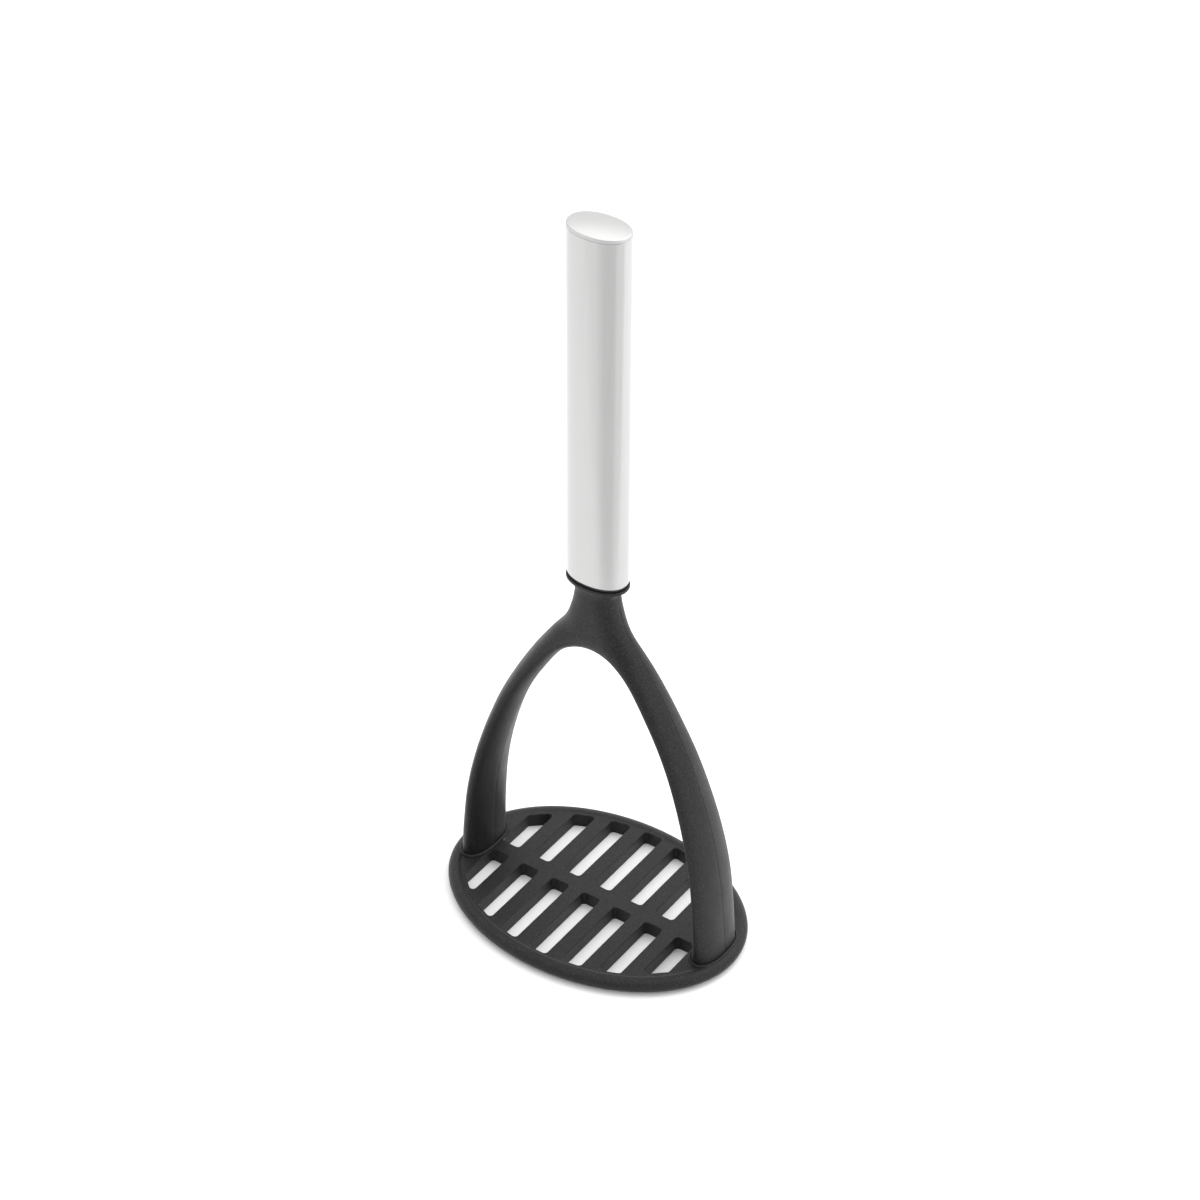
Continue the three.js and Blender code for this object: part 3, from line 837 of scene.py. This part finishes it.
PLATE_INPUTS = [          # name, socket kind, value (metres where it is a length)
    ("Slot Columns", "NodeSocketInt", 7),
    ("Slot Pitch", "NodeSocketFloat", 13.34 * MM),
    ("Slot Width", "NodeSocketFloat", 7.5 * MM),
    ("Slot Corner Radius", "NodeSocketFloat", 1.3 * MM),
    ("Centre Bar Half Width", "NodeSocketFloat", 2.9 * MM),
    ("Slot Field Half Length", "NodeSocketFloat", 51.5 * MM),
    ("Slot Field Half Width", "NodeSocketFloat", 36.5 * MM),
    ("Plate Half Length", "NodeSocketFloat", plate_half_length * MM),
    ("Plate Half Width", "NodeSocketFloat", plate_half_width * MM),
    ("Web Thickness", "NodeSocketFloat", WEB_THICKNESS * MM),
    ("Slot Wall Section", "NodeSocketObject", slot_section),
    ("Rim Section", "NodeSocketObject", rim_section),
    ("Material", "NodeSocketMaterial", moulded_nylon),
]

plate_tree = bpy.data.node_groups.new("slotted plate", "GeometryNodeTree")
plate_tree.interface.new_socket("Geometry", in_out="OUTPUT", socket_type="NodeSocketGeometry")
for name, kind, _ in PLATE_INPUTS:
    plate_tree.interface.new_socket(name, in_out="INPUT", socket_type=kind)
given = add_node(plate_tree, "NodeGroupInput").outputs


def calculate(operation, first, second=0.0):
    """A maths node's result."""
    return add_node(plate_tree, "ShaderNodeMath", {0: first, 1: second},
                    operation=operation).outputs["Value"]


def compare(operation, first, second):
    """A comparison of two numbers, as a selection."""
    return add_node(plate_tree, "FunctionNodeCompare", {"A": first, "B": second},
                    operation=operation).outputs["Result"]


def join(*parts):
    """Several geometries as one."""
    node = plate_tree.nodes.new("GeometryNodeJoinGeometry")
    for part in parts:
        plate_tree.links.new(part, node.inputs["Geometry"])
    return node.outputs["Geometry"]


# One row of slot outlines: rectangles on a line of points, with their ends moved.
columns_less_one = calculate("SUBTRACT", given["Slot Columns"], 1)
row_length = calculate("MULTIPLY", columns_less_one, given["Slot Pitch"])
row_start = calculate("MULTIPLY", row_length, -0.5)
start_point = add_node(plate_tree, "ShaderNodeCombineXYZ", {"X": row_start})
step_vector = add_node(plate_tree, "ShaderNodeCombineXYZ", {"X": given["Slot Pitch"]})
column_points = add_node(plate_tree, "GeometryNodeMeshLine", {
    "Count": given["Slot Columns"], "Start Location": start_point.outputs[0],
    "Offset": step_vector.outputs[0]}, mode="OFFSET")
rectangle = add_node(plate_tree, "GeometryNodeCurvePrimitiveQuadrilateral", {
    "Width": given["Slot Width"], "Height": SLOT_START_HEIGHT})
rectangles = add_node(plate_tree, "GeometryNodeInstanceOnPoints", {
    "Points": column_points.outputs["Mesh"], "Instance": rectangle.outputs["Curve"]})
outlines = add_node(plate_tree, "GeometryNodeRealizeInstances", {
    "Geometry": rectangles.outputs["Instances"]})
corner = add_node(plate_tree, "ShaderNodeSeparateXYZ", {
    "Vector": plate_tree.nodes.new("GeometryNodeInputPosition").outputs["Position"]})
share_along = calculate("DIVIDE", corner.outputs["X"], given["Slot Field Half Length"])
oval_share = calculate("SQRT", calculate(
    "SUBTRACT", 1.0, calculate("MULTIPLY", share_along, share_along)))
outer_end = calculate("MULTIPLY", given["Slot Field Half Width"], oval_share)
is_outer = compare("GREATER_THAN", corner.outputs["Y"], 0.0)
end_height = add_node(plate_tree, "GeometryNodeSwitch", {
    "Switch": is_outer, "False": given["Centre Bar Half Width"], "True": outer_end},
    input_type="FLOAT")
moved_corner = add_node(plate_tree, "ShaderNodeCombineXYZ", {
    "X": corner.outputs["X"], "Y": end_height.outputs["Output"]})
back_row = add_node(plate_tree, "GeometryNodeSetPosition", {
    "Geometry": outlines.outputs["Geometry"], "Position": moved_corner.outputs[0]})

# The other row is the first one turned by half a turn, which keeps its winding.
front_row = add_node(plate_tree, "GeometryNodeTransform", {
    "Geometry": back_row.outputs["Geometry"], "Rotation": (0, 0, math.pi)})
rounded = add_node(plate_tree, "GeometryNodeFilletCurve", {
    "Curve": join(back_row.outputs["Geometry"], front_row.outputs["Geometry"]),
    "Count": CORNER_POINTS, "Radius": given["Slot Corner Radius"], "Limit Radius": True},
    mode="POLY")

# The plate's oval.
circle = add_node(plate_tree, "GeometryNodeCurvePrimitiveCircle", {
    "Resolution": OVAL_POINTS, "Radius": 1.0})
oval_size = add_node(plate_tree, "ShaderNodeCombineXYZ", {
    "X": given["Plate Half Length"], "Y": given["Plate Half Width"], "Z": 1.0})
oval = add_node(plate_tree, "GeometryNodeTransform", {
    "Geometry": circle.outputs["Curve"], "Scale": oval_size.outputs[0]})


def sweep(curve, section):
    """A section swept along level closed curves, always upright."""
    upright = add_node(plate_tree, "GeometryNodeSetCurveNormal", {"Curve": curve}, mode="Z_UP")
    shape = add_node(plate_tree, "GeometryNodeObjectInfo", {"Object": section})
    swept = add_node(plate_tree, "GeometryNodeCurveToMesh", {
        "Curve": upright.outputs["Curve"], "Profile Curve": shape.outputs["Geometry"]})
    return swept.outputs["Mesh"]


walls = join(sweep(rounded.outputs["Curve"], given["Slot Wall Section"]),
             sweep(oval.outputs["Geometry"], given["Rim Section"]))

# The open edges of the walls at the top and at the bottom bound the two flat faces. An
# open edge is one that has a single face.
edge_faces = add_node(plate_tree, "GeometryNodeInputMeshEdgeNeighbors").outputs["Face Count"]
edge_place = add_node(plate_tree, "ShaderNodeSeparateXYZ", {
    "Vector": plate_tree.nodes.new("GeometryNodeInputPosition").outputs["Position"]})
edge_height = edge_place.outputs["Z"]
is_open = compare("LESS_THAN", edge_faces, 1.5)
half_thickness = calculate("MULTIPLY", given["Web Thickness"], 0.5)


def flat_face(side, lift):
    """The face that fills the open edges above or below the plate's middle."""
    on_side = compare(side, edge_height, half_thickness)
    chosen = add_node(plate_tree, "FunctionNodeBooleanMath", {0: is_open, 1: on_side},
                      operation="AND")
    outline = add_node(plate_tree, "GeometryNodeMeshToCurve", {
        "Mesh": walls, "Selection": chosen.outputs["Boolean"]})
    face = add_node(plate_tree, "GeometryNodeFillCurve", {
        "Curve": outline.outputs["Curve"]}, mode="TRIANGLES")
    height = add_node(plate_tree, "ShaderNodeCombineXYZ", {"Z": lift})
    lifted = add_node(plate_tree, "GeometryNodeTransform", {
        "Geometry": face.outputs["Mesh"], "Translation": height.outputs[0]})
    return lifted.outputs["Geometry"]


whole = add_node(plate_tree, "GeometryNodeMergeByDistance", {
    "Geometry": join(walls, flat_face("GREATER_THAN", given["Web Thickness"]),
                     flat_face("LESS_THAN", 0.0)),
    "Distance": PLATE_WELD_DISTANCE})
realized = add_node(plate_tree, "GeometryNodeRealizeInstances", {
    "Geometry": whole.outputs["Geometry"]})
finished = add_node(plate_tree, "GeometryNodeSetMaterial", {
    "Geometry": realized.outputs["Geometry"], "Material": given["Material"]})
add_node(plate_tree, "NodeGroupOutput", {"Geometry": finished.outputs["Geometry"]})
print(len(plate_tree.nodes), "nodes in the plate's tree")

# %% [markdown]
# The tree runs once on an empty carrier object. Its result is kept as a plain mesh, and
# the carrier, the modifier and the two section curves are removed.

# %% Run the tree and keep its result as a plain mesh
bare = bpy.data.objects.new("plate carrier", bpy.data.meshes.new("plate carrier"))
scene.collection.objects.link(bare)
modifier = bare.modifiers.new("slotted plate", "NODES")
modifier.node_group = plate_tree
identifiers = {item.name: item.identifier for item in plate_tree.interface.items_tree
               if item.in_out == "INPUT"}
for name, _, value in PLATE_INPUTS:
    modifier[identifiers[name]] = value
bpy.context.view_layer.update()
evaluated = bare.evaluated_get(bpy.context.evaluated_depsgraph_get())
plate_mesh = bpy.data.meshes.new_from_object(evaluated)
bare.modifiers.remove(modifier)
for helper in (bare, slot_section, rim_section):
    bpy.data.objects.remove(helper)
print("plate from the tree:", len(plate_mesh.vertices), "points,",
      len(plate_mesh.polygons), "faces")

# %% [markdown]
# The yoke's feet go down into the plate, and the moulding has a low round lip around each
# of them. The lip is a bead that follows the outline of the foot. The sockets under the
# feet can't be seen, so the CAD has them and this finer mesh doesn't.

# %% Lips around the feet
LIP_SECTION = [           # distance from the foot, height
    (0.15, 4.6), (0.15, 6.02), (0.24, 6.2), (0.45, 6.29), (0.68, 6.26), (0.88, 6.1),
    (1.02, 5.85), (1.1, 5.5), (1.12, 4.6),
]
LIP_HEIGHT = 6.0          # where the foot's outline is taken
FOOT_ROWS = 30            # rows from the bottom, searched for that height

foot_row = min(rows[:FOOT_ROWS], key=lambda row: abs(row[:, 2].mean() - LIP_HEIGHT))[1:-1]
outline = np.vstack((foot_row[:, :2], foot_row[::-1, :2] * (1, -1)))
ahead = np.roll(outline, -1, axis=0) - np.roll(outline, 1, axis=0)
outwards = np.column_stack((ahead[:, 1], -ahead[:, 0]))
outwards /= np.linalg.norm(outwards, axis=1)[:, None]
if (outwards * (outline - outline.mean(axis=0))).sum() < 0:
    outwards = -outwards

bm = bmesh.new()
bm.from_mesh(plate_mesh)
for side in (1, -1):
    stack_rings(bm, [
        [(side * x, y, height) for x, y in outline + distance * outwards]
        for distance, height in LIP_SECTION], loop=True)
plate = new_object("slotted_plate", bm)
plate.data.materials.clear()
plate.data.materials.append(moulded_nylon)
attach(plate, "root")
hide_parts("mashing_plate")
describe(plate)

# %% [markdown]
# ## Hidden parts
# The plug and the two pins are never seen from outside, so their CAD shapes are kept and
# only get better materials.

# %% Materials of the hidden parts
for name, material in (("handle_plug", plug_nylon), ("tang_pin_lower", pin_steel),
                       ("tang_pin_upper", pin_steel)):
    bpy.data.objects[name].data.materials.clear()
    bpy.data.objects[name].data.materials.append(material)
    print(name, "is", material.name)
